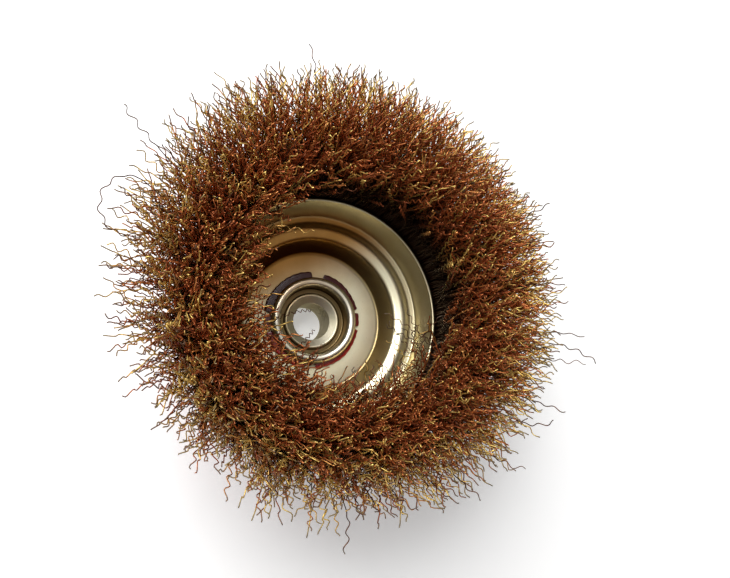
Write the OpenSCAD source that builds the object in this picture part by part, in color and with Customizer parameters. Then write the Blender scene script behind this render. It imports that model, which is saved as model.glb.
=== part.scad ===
// Crimped wire cup brush for a hand-held grinder.
// The origin is the centre of the hub nut's back face, and +Z runs along the spindle towards the wire tips.

/* [Spindle thread] */
// Bore radius at the crests of the internal thread
thread_crest_r = 6; // [5:0.1:6.5]
// Width and height of the chamfer at the back mouth
mouth_chamfer = 0.8; // [0.5:0.1:1.5]
// Depth of the countersink at the front mouth
sink_depth = 1.4; // [1:0.1:3]

/* [Hub nut] */
// Size of the hexagon across its flats
hex_af = 22; // [19:0.5:26]
// Height of the hexagon from the back face to its shoulder
hex_h = 11.3; // [8:0.1:14]
// Height of the turned corners at both ends of the hexagon
hex_chamfer = 1; // [0.5:0.1:1.5]
// Wall of the round neck around the bore
neck_wall = 2.4; // [1.8:0.1:3]
// How far the rolled lip spreads past the neck
lip_spread = 0.9; // [0.5:0.1:1.2]
// Height of the rolled lip above the collar's flange
lip_h = 1.2; // [0.8:0.1:2]
// Wall left at the top of the rolled lip
lip_wall = 1; // [0.6:0.1:1.4]

/* [Back washer] */
// Outer radius of the stiffening washer under the cup
washer_r = 17; // [14:0.5:22]
// Thickness of the stiffening washer
washer_t = 1.5; // [1:0.1:3]

/* [Outer cup] */
// Thickness of the cup's drawn steel sheet
cup_t = 1; // [0.6:0.1:1.4]
// Inside radius of the cup's wall
cup_r = 41.5; // [38:0.5:48]
// Bend radius between the cup's base and its wall
cup_corner_r = 9; // [8:0.5:12]
// Depth of the cup from its base to the rolled lip
cup_depth = 17.2; // [15:0.2:24]
// Radius of the rolled lip
cup_bead_r = 1.4; // [1:0.1:2]
// Inside radius of the neck that passes up through the plate
cup_neck_r = 11.8; // [11.6:0.1:13]
// Width of the petals that the neck is folded into
petal_w = 3.4; // [2.4:0.1:5]
// Width of the two wide slots between petals
wide_slot = 3.6; // [1:0.1:5]
// Width of the narrow slots between petals
narrow_slot = 0.8; // [0.4:0.1:2]

/* [Inner plate] */
// Thickness of the plate's sheet
plate_t = 1; // [0.6:0.1:1.2]
// Width of the mouth between the plate's rim and the cup's wall
mouth_w = 4.2; // [3.6:0.1:6]
// Width of the steep wall between the floor and the shoulder
step_w = 3.5; // [2.5:0.1:5]
// Height of the shoulder above the floor
step_h = 6.6; // [4:0.1:8]
// Width of the rounded shoulder between the steep wall and the groove
shoulder_w = 2.7; // [2:0.1:4]
// How far the shoulder falls towards the steep wall
shoulder_fall = 0.7; // [0.3:0.1:1]
// Width of each side of the shallow groove
groove_w = 2.2; // [1.8:0.1:3]
// Depth of the shallow groove
groove_depth = 0.5; // [0.2:0.1:1]
// Width of the outer wall, from the groove to the rim
rim_w = 3.2; // [1.5:0.1:4]
// Height of the outer wall, from the groove to the rim
rim_h = 7.4; // [4:0.1:10]

/* [Front collar] */
// How far the collar laps over the cup's folded neck
collar_lap = 1.1; // [1:0.1:2]
// Thickness of the collar's sheet
collar_t = 1; // [0.6:0.1:1.2]
// Bend radius of the rolled bead along the middle of the sheet
collar_bead_r = 1; // [0.7:0.1:1.2]
// Height of the bead's centre above the petals
collar_bead_h = 1.9; // [1:0.1:4]

/* [Anchor ring] */
// Radius of the hoop's steel rod
ring_rod_r = 1.5; // [1:0.1:2]
// Thickness of the wires where they fold round the hoop
fold_t = 1.5; // [1:0.1:2]

/* [Wire crown] */
// Number of wire bundles round the crown
bundle_count = 24; // [12:1:36]
// Gap between neighbouring bundles where they leave the cup
bundle_gap = 0.4; // [0.2:0.1:1]
// Length of the wires that stand out of the cup
trim_len = 33; // [24:0.5:38]
// Angle that the innermost wires lean towards the axis
splay_in = 17; // [10:1:30]
// Angle that the outermost wires lean away from the axis
splay_out = 42; // [20:1:55]
// Angle that the worn crown leans to one side
crown_lean = 18; // [0:1:20]
// Direction that the crown leans to
crown_lean_angle = 65; // [0:5:355]

/* [Stray wires] */
// Diameter of one wire
wire_d = 0.35; // [0.2:0.05:0.6]
// Number of stray wires round the crown
stray_count = 36; // [0:1:40]
// Shortest reach of a stray wire past the crown
stray_min = 5; // [3:0.5:8]
// Longest reach of a stray wire past the crown
stray_max = 12; // [8:0.5:20]
// Angle that a stray wire may droop past the wires beside it
stray_droop = 20; // [0:1:25]
// Whole bend of the most bent stray wire, to each side
stray_bend = 60; // [0:5:80]
// Length of one crimp wave
crimp_pitch = 4.6; // [4:0.2:10]
// Height of the crimp wave to each side
crimp_h = 0.6; // [0.2:0.1:1]

/* [Fits] */
// Clearance round the neck and beside the folded neck of the cup
fit_gap = 0.2; // [0.1:0.05:0.4]
// Clearance between the wires and the steel that holds them
wire_gap = 0.3; // [0.2:0.05:0.5]

/* [Hidden] */
$fn = 96;
function two_digits(i) = i < 10 ? str("0", i) : str(i);
function bundle_name(i) = str("wire_bundle_", two_digits(i));

// Steps in one rounded corner and in one free curve
arc_steps = 8;
curve_steps = 10;

// Heights of the stack, from the back face up
washer_top = hex_h + washer_t;
cup_mid = washer_top + cup_t / 2;
plate_bottom = washer_top + cup_t;
floor_mid = plate_bottom + plate_t / 2;
floor_top = plate_bottom + plate_t;
petal_mid = floor_top + cup_t / 2;
petal_top = floor_top + cup_t;
flange_mid = washer_top + collar_t / 2;
lip_top = washer_top + collar_t + lip_h;
thread_top = lip_top - sink_depth;
cup_lip_z = cup_mid + cup_depth;

// Radii that follow from the bore and from the folded neck
neck_r = thread_crest_r + neck_wall;
lip_r = neck_r + lip_spread;
hex_corner_r = hex_af / 2 / cos(30);
sink_r = lip_r - lip_wall;
collar_r = cup_neck_r + cup_t + collar_lap;

// Bend radii along the middle of the sheets: of the tight bends in sheet thicknesses, of the
// shoulder's wide bend in widths of the shoulder
tight_bend = 1.2;
wide_bend = 0.75;
fold_bend = 0.65;

// Slots in the folded neck, as directions round the axis
wide_slots = [84, 267];
narrow_slots = [-7, 14, 173, 194];

// Corners of the plate's profile, from the rim inwards
rim_r = cup_r - mouth_w - plate_t / 2;
ledge_r = rim_r - rim_w;
groove_r = ledge_r - groove_w;
crest_r = groove_r - groove_w;
shoulder_r = crest_r - shoulder_w;
floor_r = shoulder_r - step_w;
shoulder_z = floor_mid + step_h;
rim_z = shoulder_z + rim_h;
wall_dir = [rim_w, rim_h] / norm([rim_w, rim_h]);
wall_out = [wall_dir[1], -wall_dir[0]] * (plate_t / 2 + wire_gap);

// The hoop lies in the cup's rounded corner, with the folded wires between them
fold_r = ring_rod_r + wire_gap + fold_t;
corner_mid = [cup_r + cup_t / 2 - cup_corner_r, cup_mid + cup_corner_r];
hoop_reach = cup_corner_r - cup_t / 2 - wire_gap - fold_r;
hoop_mid = corner_mid + hoop_reach * [cos(45), -sin(45)];

// Edges of the mouth that the wires leave through, and the point that they fan out from
mouth_out = [cup_r - wire_gap, cup_lip_z + cup_bead_r];
mouth_in = [rim_r, rim_z] + wall_out;
fan_mid = [(mouth_in[0] + mouth_out[0]) / 2, mouth_out[1]];
sector = 360 / bundle_count;
gap_angle = bundle_gap / mouth_out[0] * 180 / PI;

// A corner of a path turned into an arc of radius r
function unit(v) = v / norm(v);
function corner_arc(a, b, c, r) =
    let (u = unit(a - b),
         v = unit(c - b),
         half = acos(u * v) / 2,
         mid = b + unit(u + v) * r / sin(half),
         p = b + u * r / tan(half) - mid,
         q = b + v * r / tan(half) - mid,
         start = atan2(p[1], p[0]),
         turn = (atan2(q[1], q[0]) - start + 540) % 360 - 180)
    [for (k = [0 : arc_steps]) mid + r * [cos(start + turn * k / arc_steps), sin(start + turn * k / arc_steps)]];

// A path of corners, each with its bend radius; zero leaves a corner sharp
function bent_path(points, radii) =
    [for (i = [0 : len(points) - 1])
        each radii[i] == 0 ? [points[i]] : corner_arc(points[i - 1], points[i], points[i + 1], radii[i])];

// Normal of a path at one point, stretched so that both neighbouring edges keep their offset
function edge_normal(path, i) = let (d = unit(path[i + 1] - path[i])) [-d[1], d[0]];
function path_normal(path, i) =
    i == 0 ? edge_normal(path, 0) :
    i == len(path) - 1 ? edge_normal(path, i - 1) :
    let (m = unit(edge_normal(path, i - 1) + edge_normal(path, i))) m / (m * edge_normal(path, i));

// Outline of a sheet of thickness t along its middle path
function sheet_outline(path, t) = concat(
    [for (i = [0 : len(path) - 1]) path[i] + path_normal(path, i) * t / 2],
    [for (i = [len(path) - 1 : -1 : 0]) path[i] - path_normal(path, i) * t / 2]
);

// A quadratic curve from a to c that heads for b
function curve(a, b, c, k) = pow(1 - k, 2) * a + 2 * k * (1 - k) * b + k * k * c;
function curve_points(a, b, c) = [for (k = [1 : curve_steps - 1]) curve(a, b, c, k / curve_steps)];

// Share of their length that the edge wires run straight before they bend to their lean
straight_share = 0.45;

// Tips of the wires at lean t from the axis, and the fan's two limits for a bundle in direction a
function tip(t) = fan_mid + trim_len * [sin(t), cos(t)];
function lean_out(a) = splay_out + crown_lean * cos(a - crown_lean_angle);
function lean_in(a) = -splay_in + crown_lean * cos(a - crown_lean_angle);
function half_way(p, t) = p + straight_share * trim_len * [sin(t / 2), cos(t / 2)];
function bundle_middle(i) = (i - 0.5) * sector;

// Section of one bundle: round the hoop, out through the mouth, and over the crown
function bundle_outline(a) = concat(
    [for (k = [0 : 2 * arc_steps]) let (t = 180 + 90 * k / arc_steps) hoop_mid + fold_r * [cos(t), sin(t)]],
    [[mouth_out[0], cup_lip_z - cup_bead_r], mouth_out],
    curve_points(mouth_out, half_way(mouth_out, lean_out(a)), tip(lean_out(a))),
    [for (k = [0 : 2 * curve_steps]) tip(lean_out(a) + (lean_in(a) - lean_out(a)) * k / (2 * curve_steps))],
    curve_points(tip(lean_in(a)), half_way(mouth_in, lean_in(a)), mouth_in),
    [mouth_in, [ledge_r, shoulder_z] + wall_out]
);

// Rings along one crimp wave, and the share of a wire over which its crimp grows
rings_per_crimp = 6;
crimp_start = 1 / 3;

// Centre line of a wire that leaves p along d, bends by a whole angle towards n and waves with the crimp
function bent_line(p, d, n, len, bend, s) = abs(bend) < 1
    ? p + len * s * d
    : p + len * 180 / PI / bend * (sin(bend * s) * d + (1 - cos(bend * s)) * n);
function wire_point(p, d, n, len, bend, s) =
    let (side = cross(d, n),
         across = -sin(bend * s) * d + cos(bend * s) * n,
         grow = min(1, s / crimp_start),
         wave = crimp_h * grow * sin(360 * len * s / crimp_pitch))
    bent_line(p, d, n, len, bend, s) + wave * (side + across) / sqrt(2);

// Tube along such a wire, as a stack of square rings
module wire_tube(p, d, n, len, bend) {
    rings = ceil(len / crimp_pitch * rings_per_crimp) + 1;
    side = cross(d, n);
    points = [for (i = [0 : rings - 1], q = [0 : 3])
        let (s = i / (rings - 1),
             across = -sin(bend * s) * d + cos(bend * s) * n)
        wire_point(p, d, n, len, bend, s) + wire_d / 2 * (cos(90 * q) * across + sin(90 * q) * side)];
    walls = [for (i = [0 : rings - 2], q = [0 : 3])
        [i * 4 + q, i * 4 + (q + 1) % 4, (i + 1) * 4 + (q + 1) % 4, (i + 1) * 4 + q]];
    ends = [[3, 2, 1, 0], [for (q = [0 : 3]) (rings - 1) * 4 + q]];
    polyhedron(points, concat(walls, ends));
}

// Steps that scatter the stray wires evenly: direction in degrees, the others in whole ranges
turn_step = 137.5;
place_step = 0.618;
droop_step = 0.8567;
reach_step = 0.7549;
bend_step = 0.5698;
swing_step = 0.4142;
place_range = 0.5;
function scatter(i, step) = (i * step) % 1;

// Five wires pulled out of the crown: a long loop and four ends, as direction, droop, reach in
// longest strays, bend and swing
pulled_wires = [
    [152, 20, 2.6, 240, 0],
    [143, 15, 1.3, 20, 90],
    [352, 15, 1.2, 35, 180],
    [97, 15, 0.8, 20, 0],
    [268, 25, 1, 25, 180]
];

// A stray wire stands just off the tips: direction round the axis, place over the crown, droop,
// reach, bend and the swing of the bend round the wire
module stray_wire(a, place, droop, reach, bend, swing) {
    middle = (floor(a / sector) + 0.5) * sector;
    t = lean_out(middle) + place * (lean_in(middle) - lean_out(middle));
    root = tip(t) + wire_gap * [sin(t), cos(t)];
    lean = t + droop;
    direction = [sin(lean) * cos(a), sin(lean) * sin(a), cos(lean)];
    round_axis = [-sin(a), cos(a), 0];
    wire_tube(
        [root[0] * cos(a), root[0] * sin(a), root[1]],
        direction,
        cos(swing) * round_axis + sin(swing) * cross(direction, round_axis),
        reach,
        bend
    );
}

module hub_nut() {
    color("silver") difference() {
        union() {
            intersection() {
                cylinder(r = hex_corner_r, h = hex_h, $fn = 6);
                rotate_extrude() polygon([
                    [0, 0],
                    [hex_af / 2, 0],
                    [hex_corner_r + 0.1, hex_chamfer],
                    [hex_corner_r + 0.1, hex_h - hex_chamfer],
                    [hex_af / 2, hex_h],
                    [0, hex_h]
                ]);
            }
            cylinder(r = neck_r, h = lip_top - lip_h);
            translate([0, 0, lip_top - lip_h]) cylinder(r = lip_r, h = lip_h / 2);
            translate([0, 0, lip_top - lip_h / 2]) cylinder(r1 = lip_r, r2 = lip_r - lip_wall / 2, h = lip_h / 2);
        }
        translate([0, 0, -1]) cylinder(r = thread_crest_r, h = lip_top + 2);
        translate([0, 0, -mouth_chamfer])
            cylinder(r1 = thread_crest_r + 2 * mouth_chamfer, r2 = thread_crest_r, h = 2 * mouth_chamfer);
        translate([0, 0, thread_top])
            cylinder(r1 = thread_crest_r, r2 = sink_r + (sink_r - thread_crest_r), h = 2 * sink_depth);
    }
}

module back_washer() {
    color("lightgray") translate([0, 0, hex_h]) difference() {
        cylinder(r = washer_r, h = washer_t);
        translate([0, 0, -1]) cylinder(r = neck_r + fit_gap, h = washer_t + 2);
    }
}

module petal_slot(a, w) {
    rotate([0, 0, a]) translate([cup_neck_r + cup_t / 2, -w / 2, floor_top])
        cube([petal_w + cup_t, w, 2 * cup_t]);
}

module outer_cup() {
    fold = fold_bend * cup_t;
    mid_neck_r = cup_neck_r + cup_t / 2;
    middle = bent_path(
        [
            [cup_neck_r + cup_t + petal_w, petal_mid],
            [mid_neck_r, petal_mid],
            [mid_neck_r, cup_mid],
            [cup_r + cup_t / 2, cup_mid],
            [cup_r + cup_t / 2, cup_lip_z]
        ],
        [0, fold, fold, cup_corner_r, 0]
    );
    color("firebrick") difference() {
        union() {
            rotate_extrude() polygon(sheet_outline(middle, cup_t));
            rotate_extrude() translate([cup_r + cup_bead_r, cup_lip_z]) circle(r = cup_bead_r, $fn = 32);
        }
        for (a = wide_slots) petal_slot(a, wide_slot);
        for (a = narrow_slots) petal_slot(a, narrow_slot);
    }
}

module inner_plate() {
    middle = bent_path(
        [
            [cup_neck_r + cup_t + fit_gap, floor_mid],
            [floor_r, floor_mid],
            [shoulder_r, shoulder_z - shoulder_fall],
            [crest_r, shoulder_z],
            [groove_r, shoulder_z - groove_depth],
            [ledge_r, shoulder_z],
            [rim_r, rim_z]
        ],
        [0, tight_bend * plate_t, wide_bend * shoulder_w, groove_w, groove_w, tight_bend * plate_t, 0]
    );
    color("gainsboro") rotate_extrude() polygon(sheet_outline(middle, plate_t));
}

module front_collar() {
    outer_leg_r = collar_r - collar_t / 2;
    bead_mid = [outer_leg_r - collar_bead_r, petal_top + collar_bead_h];
    foot = bent_path(
        [
            [neck_r + fit_gap, flange_mid],
            [lip_r + collar_t / 2, flange_mid],
            bead_mid - [collar_bead_r, 0]
        ],
        [0, fold_bend * collar_t, 0]
    );
    bead = [for (k = [1 : 2 * arc_steps - 1])
        let (t = 180 - 180 * k / (2 * arc_steps)) bead_mid + collar_bead_r * [cos(t), sin(t)]];
    middle = concat(foot, bead, [bead_mid + [collar_bead_r, 0], [outer_leg_r, petal_top]]);
    color("whitesmoke") rotate_extrude() polygon(sheet_outline(middle, collar_t));
}

module anchor_ring() {
    color("dimgray") rotate_extrude() translate(hoop_mid) circle(r = ring_rod_r, $fn = 32);
}

module wire_bundle(i) {
    color(i % 2 == 0 ? "peru" : "chocolate") difference() {
        rotate([0, 0, (i - 1) * sector + gap_angle / 2])
            rotate_extrude(angle = sector - gap_angle) polygon(bundle_outline(bundle_middle(i)));
        rotate_extrude() translate(hoop_mid) circle(r = ring_rod_r + wire_gap, $fn = 32);
    }
}

module stray_wires() {
    color("goldenrod") {
        for (i = [1 : stray_count])
            stray_wire(
                (i * turn_step) % 360,
                place_range * scatter(i, place_step),
                stray_droop * scatter(i, droop_step),
                stray_min + (stray_max - stray_min) * scatter(i, reach_step),
                2 * stray_bend * (scatter(i, bend_step) - 0.5),
                360 * scatter(i, swing_step)
            );
        for (w = pulled_wires) stray_wire(w[0], 0, w[1], w[2] * stray_max, w[3], w[4]);
    }
}

hub_nut();
back_washer();
outer_cup();
inner_plate();
front_collar();
anchor_ring();
for (i = [1 : bundle_count]) wire_bundle(i);
stray_wires();
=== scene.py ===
# %% [markdown]
# # A crimped wire cup brush
# This brush screws onto an angle grinder. Thousands of crimped, brass coated steel wires stand in a
# drawn steel cup and flare out into a shaggy crown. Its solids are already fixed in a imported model,
# so the lesson only dresses them: thin sheet metal, a cut thread, red lacquer and, above all, wire.

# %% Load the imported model
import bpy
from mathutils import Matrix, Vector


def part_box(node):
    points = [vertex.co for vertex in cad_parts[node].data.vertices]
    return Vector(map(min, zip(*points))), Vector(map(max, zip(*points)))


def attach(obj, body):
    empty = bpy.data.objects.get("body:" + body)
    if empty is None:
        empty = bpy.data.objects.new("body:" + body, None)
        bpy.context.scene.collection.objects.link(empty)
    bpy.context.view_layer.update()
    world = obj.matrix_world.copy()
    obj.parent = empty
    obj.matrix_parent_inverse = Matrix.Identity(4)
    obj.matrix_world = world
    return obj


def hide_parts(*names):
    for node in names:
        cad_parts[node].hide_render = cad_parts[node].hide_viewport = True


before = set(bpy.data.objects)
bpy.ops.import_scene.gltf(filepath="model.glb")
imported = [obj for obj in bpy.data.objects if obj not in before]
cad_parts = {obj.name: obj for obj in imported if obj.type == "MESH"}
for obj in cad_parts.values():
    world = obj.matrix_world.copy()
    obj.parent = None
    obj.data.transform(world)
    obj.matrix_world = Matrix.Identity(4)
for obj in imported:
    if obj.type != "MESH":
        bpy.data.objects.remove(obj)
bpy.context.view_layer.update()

import bpy
import numpy as np
from mathutils import Matrix, Vector

print("packed nodes:", len(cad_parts))

# %% [markdown]
# ## Sizes
# Shapes are worked out in millimetres, as on a drawing, and become metres when a mesh is made.
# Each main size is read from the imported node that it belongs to, so the dress always fits the body.

# %% Read the main sizes
MM = 0.001


def box_of(node):
    """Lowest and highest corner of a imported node, in millimetres."""
    return [np.array(corner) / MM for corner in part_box(node)]


hub_box, washer_box, cup_box = box_of("hub_nut"), box_of("back_washer"), box_of("outer_cup")
plate_box, ring_box = box_of("inner_plate"), box_of("anchor_ring")
lip_top = hub_box[1][2]
hex_flats = hub_box[1][1] - hub_box[0][1]
washer_low, washer_top = washer_box[0][2], washer_box[1][2]
SHEET = 1.0
cup_bead_r = 1.4
cup_r = cup_box[1][0] - 2 * cup_bead_r
cup_lip_z = cup_box[1][2] - cup_bead_r
rod_r = (ring_box[1][2] - ring_box[0][2]) / 2
hoop = np.array([ring_box[1][0] - rod_r, ring_box[1][2] - rod_r])
print("cup radius", round(cup_r, 2), "lip height", round(cup_lip_z, 2), "hoop", hoop.round(2))

# %% [markdown]
# ## Turning arrays into pieces
# A mesh is two lists: points, and the points that each face joins. Numpy works both out as whole
# arrays, and foreach_set copies them into Blender at once, which is far quicker than adding faces
# one by one. Numbers that the finish needs, such as how far a point is along its wire, go with them.


# %% A piece from arrays
def make_piece(name, points, faces, finish, stands_for, numbers=None, bake_map=None):
    """Points in millimetres, and a list of face arrays with one row of corners for each face.

    numbers holds a value of each point under its name, and bake_map a flat place of each corner."""
    mesh = bpy.data.meshes.new(name)
    corners = np.concatenate([part.ravel() for part in faces]).astype(np.int32)
    sizes = np.concatenate([np.full(len(part), part.shape[1]) for part in faces])
    mesh.vertices.add(len(points))
    mesh.vertices.foreach_set("co", (points * MM).astype(np.float32).ravel())
    mesh.loops.add(len(corners))
    mesh.loops.foreach_set("vertex_index", corners)
    mesh.polygons.add(len(sizes))
    mesh.polygons.foreach_set("loop_start", (np.cumsum(sizes) - sizes).astype(np.int32))
    mesh.update(calc_edges=True)
    for key, values in (numbers or {}).items():
        made = mesh.attributes.new(key, "FLOAT", "POINT")
        made.data.foreach_set("value", values.astype(np.float32).ravel())
    if bake_map is not None:
        mesh.uv_layers.new(name="OFBake").uv.foreach_set("vector", bake_map.astype(np.float32).ravel())
    mesh.shade_smooth()
    mesh.materials.append(finish)
    piece = bpy.data.objects.new(name, mesh)
    bpy.context.scene.collection.objects.link(piece)
    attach(piece, "root")
    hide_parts(stands_for)
    return piece


# %% [markdown]
# ## Finishes as arithmetic
# A finish is a small sum: this colour, a little darker where the noise is high, duller in the hollows.
# Blender writes such a sum as Math nodes. The class below lets Python write it as a sum instead,
# and every other node comes from one method that takes a type, its settings and its inputs.


# %% Sockets with operators
class Value:
    """A node's output that answers to + - * and **."""

    def __init__(self, finish, socket):
        self.finish, self.socket = finish, socket

    def sum_with(self, operation, *values):
        """One Math node over the values, in the order in which they're given."""
        return self.finish.node("ShaderNodeMath", {"operation": operation}, dict(enumerate(values)))

    def __add__(self, other):
        return self.sum_with("ADD", self, other)

    def __sub__(self, other):
        return self.sum_with("SUBTRACT", self, other)

    def __mul__(self, other):
        return self.sum_with("MULTIPLY", self, other)

    def __pow__(self, other):
        return self.sum_with("POWER", self, other)

    def __rsub__(self, other):
        return self.sum_with("SUBTRACT", other, self)

    __radd__, __rmul__ = __add__, __mul__


# %% A finish and its nodes
class Finish:
    """A material whose nodes are made by one method."""

    def __init__(self, name):
        self.material = bpy.data.materials.new(name)
        self.material.use_nodes = True
        self.tree = self.material.node_tree
        self.shader = self.tree.nodes["Principled BSDF"]

    def put(self, socket, value):
        """Links a Value, or sets a plain number or colour on the socket itself."""
        if isinstance(value, Value):
            self.tree.links.new(value.socket, socket)
        elif hasattr(socket.default_value, "__len__"):
            socket.default_value = [*value, 1.0][: len(socket.default_value)]
        else:
            socket.default_value = value

    def node(self, kind, settings, inputs, output=0):
        """One node: its type, its settings, and the values or links of its sockets."""
        made = self.tree.nodes.new(kind)
        for key, value in settings.items():
            if key == "stops":
                ramp = made.color_ramp.elements
                for end, (place, colour) in zip(ramp, (value[0], value[-1])):
                    end.position, end.color = place, (*colour, 1)
                for place, colour in value[1:-1]:
                    ramp.new(place).color = (*colour, 1)
            else:
                setattr(made, key, value)
        for key, value in inputs.items():
            self.put(made.inputs[key], value)
        return Value(self, made.outputs[output])

    def surface(self, **sockets):
        """Sets the shader's own sockets; base_color stands for Base Color."""
        for key, value in sockets.items():
            self.put(self.shader.inputs[key.replace("_", " ").title().replace("Ior", "IOR")], value)

    def place(self):
        """Where a point is on the object, in metres."""
        return self.node("ShaderNodeTexCoord", {}, {}, "Object")

    def parts(self, vector):
        """The three numbers of a vector."""
        split = self.node("ShaderNodeSeparateXYZ", {}, {0: vector})
        return [Value(self, split.socket.node.outputs[k]) for k in range(3)]

    def noise(self, scale, detail=3.0, rough=0.55, at=None):
        """Cloudy noise from 0 to 1; scale counts its lumps per metre."""
        look = {"Vector": at or self.place(), "Scale": scale, "Detail": detail, "Roughness": rough}
        return self.node("ShaderNodeTexNoise", {}, look)

    def step(self, value, low, high):
        """0 below low, 1 above high, and smooth between them."""
        ends = {0: value, "From Min": low, "From Max": high}
        return self.node("ShaderNodeMapRange", {"interpolation_type": "SMOOTHSTEP"}, ends)

    def blend(self, share, first, second):
        """The first colour where share is 0, the second where it is 1."""
        return self.node("ShaderNodeMix", {"data_type": "RGBA"}, {0: share, 6: first, 7: second}, 2)

    def tinted(self, first, second):
        """The two colours multiplied, as where one lies thinly over the other."""
        multiply = {"data_type": "RGBA", "blend_type": "MULTIPLY"}
        return self.node("ShaderNodeMix", multiply, {0: 1.0, 6: first, 7: second}, 2)

    def attribute(self, name):
        """A number that the piece's points carry."""
        return self.node("ShaderNodeAttribute", {"attribute_name": name}, {}, "Fac")

    def bump(self, height, strength, distance):
        """The surface's direction, tilted as if height stood out by up to distance."""
        return self.node("ShaderNodeBump", {}, {"Height": height, "Strength": strength, "Distance": distance})


# %% [markdown]
# ## Pressed and drawn metal
# The plate is zinc plated sheet that was pressed over a die. Presses and lathes leave rings, fine ones
# from turning and faint ones from drawing, so the finish is built on the distance from the axis.
# A noise that is stretched along rings gives both: it is read at (radius, height) and not at (x, y, z).


# %% Rings about the axis
def ring_noise(finish, scale, detail=2.0):
    """Noise of radius and height alone, so that it makes rings round the axis."""
    x, y, z = finish.parts(finish.place())
    radius = (x * x + y * y) ** 0.5
    rings = finish.node("ShaderNodeCombineXYZ", {}, {0: radius, 1: z, 2: 0.0})
    return finish.noise(scale, detail, 0.6, at=rings)


# %% [markdown]
# ## Painted shade and a painted reflection
# Shade is painted on top of the metal. It falls in corners and grooves, which on a turned piece means at
# certain radii, so a ramp over the radius can paint it. The brown reflection of the wires is painted on one
# side of the front, and a direction across the brush and two soft edges are enough for that. Finishes read
# places in metres.

# %% Metal with rings, stains, painted shade and a painted reflection
WHITE = (1.0, 1.0, 1.0)
SHADE_REACH = 40
FRONT_LOW, FRONT_HIGH = 0.012, 0.013
REFLECTION_START, REFLECTION_FULL = 0.002, 0.022
REFLECTION_END, REFLECTION_GONE = 0.0325, 0.0345
WIRE_REFLECTION_TINT = (0.55, 0.30, 0.12)


def metal(name, bright, dull, rough, ring_bump, shade_by_radius=((0, 1.0), (SHADE_REACH, 1.0))):
    """Bare or plated metal: cloudy stains, turned rings, a few rubbed patches, painted shade and a painted
    reflection.

    The listed pairs give a radius in millimetres and the share of the red that the painted shade leaves
    there. The shade is painted brown, so it leaves less of the green and least of the blue. The wires' brown
    reflection is painted on one side. Both are painted only on the brush's front."""
    finish = Finish(name)
    rings = ring_noise(finish, scale=2600.0)
    stains = finish.step(finish.noise(scale=90.0, detail=5.0, rough=0.6), 0.35, 0.7)
    specks = finish.step(finish.noise(scale=2200.0, detail=2.0, rough=0.5), 0.66, 0.8)
    colour = finish.blend(specks * 0.35, finish.blend(stains, bright, dull), [0.45 * c for c in dull])
    x, y, z = finish.parts(finish.place())
    from_axis = (x * x + y * y) ** 0.5
    # Painted shade: a ramp over the radius darkens the front at the listed radii.
    stops = [(radius / SHADE_REACH, (share, share ** 1.2, share ** 1.6)) for radius, share in shade_by_radius]
    front = finish.step(z, FRONT_LOW, FRONT_HIGH)
    shares = finish.node("ShaderNodeValToRGB", {"stops": stops}, {0: from_axis * (1 / (SHADE_REACH * MM))})
    left = finish.blend(front, WHITE, shares)
    # Painted reflection: the wires' brown is painted over one side of the front, inside the plate's rim.
    inside = front * (1 - finish.step(from_axis, REFLECTION_END, REFLECTION_GONE))
    reflection_side = finish.step(y * 0.9 - x * 0.45, REFLECTION_START, REFLECTION_FULL) * inside
    wire_reflection = finish.blend(reflection_side, WHITE, WIRE_REFLECTION_TINT)
    finish.surface(
        base_color=finish.tinted(finish.tinted(colour, left), wire_reflection),
        metallic=1.0,
        roughness=rings * 0.08 + stains * 0.07 + (rough - 0.04),
        normal=finish.bump(rings, strength=ring_bump, distance=0.00004),
    )
    return finish.material


# %% The metals of this brush
# Painted shade by radius: the plate's step and groove, the collar's bead flanks and the hub's channel are
# darkened.
plate_painted_shade = (
    (13, 0.8), (17, 1.0), (21.4, 1.0), (22.4, 0.35), (23.6, 0.4), (26, 0.6),
    (27, 1.0), (29, 1.0), (31, 0.6), (33.6, 0.8), (37, 0.8),
)
collar_painted_shade = ((10.9, 0.22), (11.4, 1.0), (12.8, 1.0), (13.4, 0.5), (14, 0.4))
hub_painted_shade = ((8.2, 1.0), (8.5, 0.5), (9.4, 0.3), (10.4, 1.0))
bright_plate = metal("bright_zinc_plate", (0.82, 0.77, 0.56), (0.73, 0.67, 0.45), 0.31, 0.1, plate_painted_shade)
collar_steel = metal("polished_collar", (0.80, 0.76, 0.64), (0.68, 0.63, 0.47), 0.3, 0.12, collar_painted_shade)
hub_steel = metal("turned_zinc_hub", (0.78, 0.73, 0.57), (0.64, 0.59, 0.41), 0.4, 0.2, hub_painted_shade)
washer_steel = metal("dull_zinc_washer", (0.50, 0.50, 0.48), (0.38, 0.37, 0.35), 0.38, 0.3)
ring_steel = metal("drawn_steel_rod", (0.40, 0.39, 0.37), (0.24, 0.20, 0.17), 0.42, 0.3)
print("metals:", [m.name for m in (bright_plate, collar_steel, hub_steel, washer_steel, ring_steel)])

# %% [markdown]
# ## Red lacquer
# The cup is dipped in glossy red lacquer before it is riveted up. Lacquer is a colour under a clear
# coat, with the faint orange peel of a dipped film, and it chips where the steel was folded. A chip is
# bare steel, so one mask drives the colour, the metal and the clear coat together.


# %% Lacquer with chips
FOLD_DULL, FOLD_CLEAR = 0.017, 0.02
SHADE_SIDE_START, SHADE_SIDE_FULL = -0.012, 0.005


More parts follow.
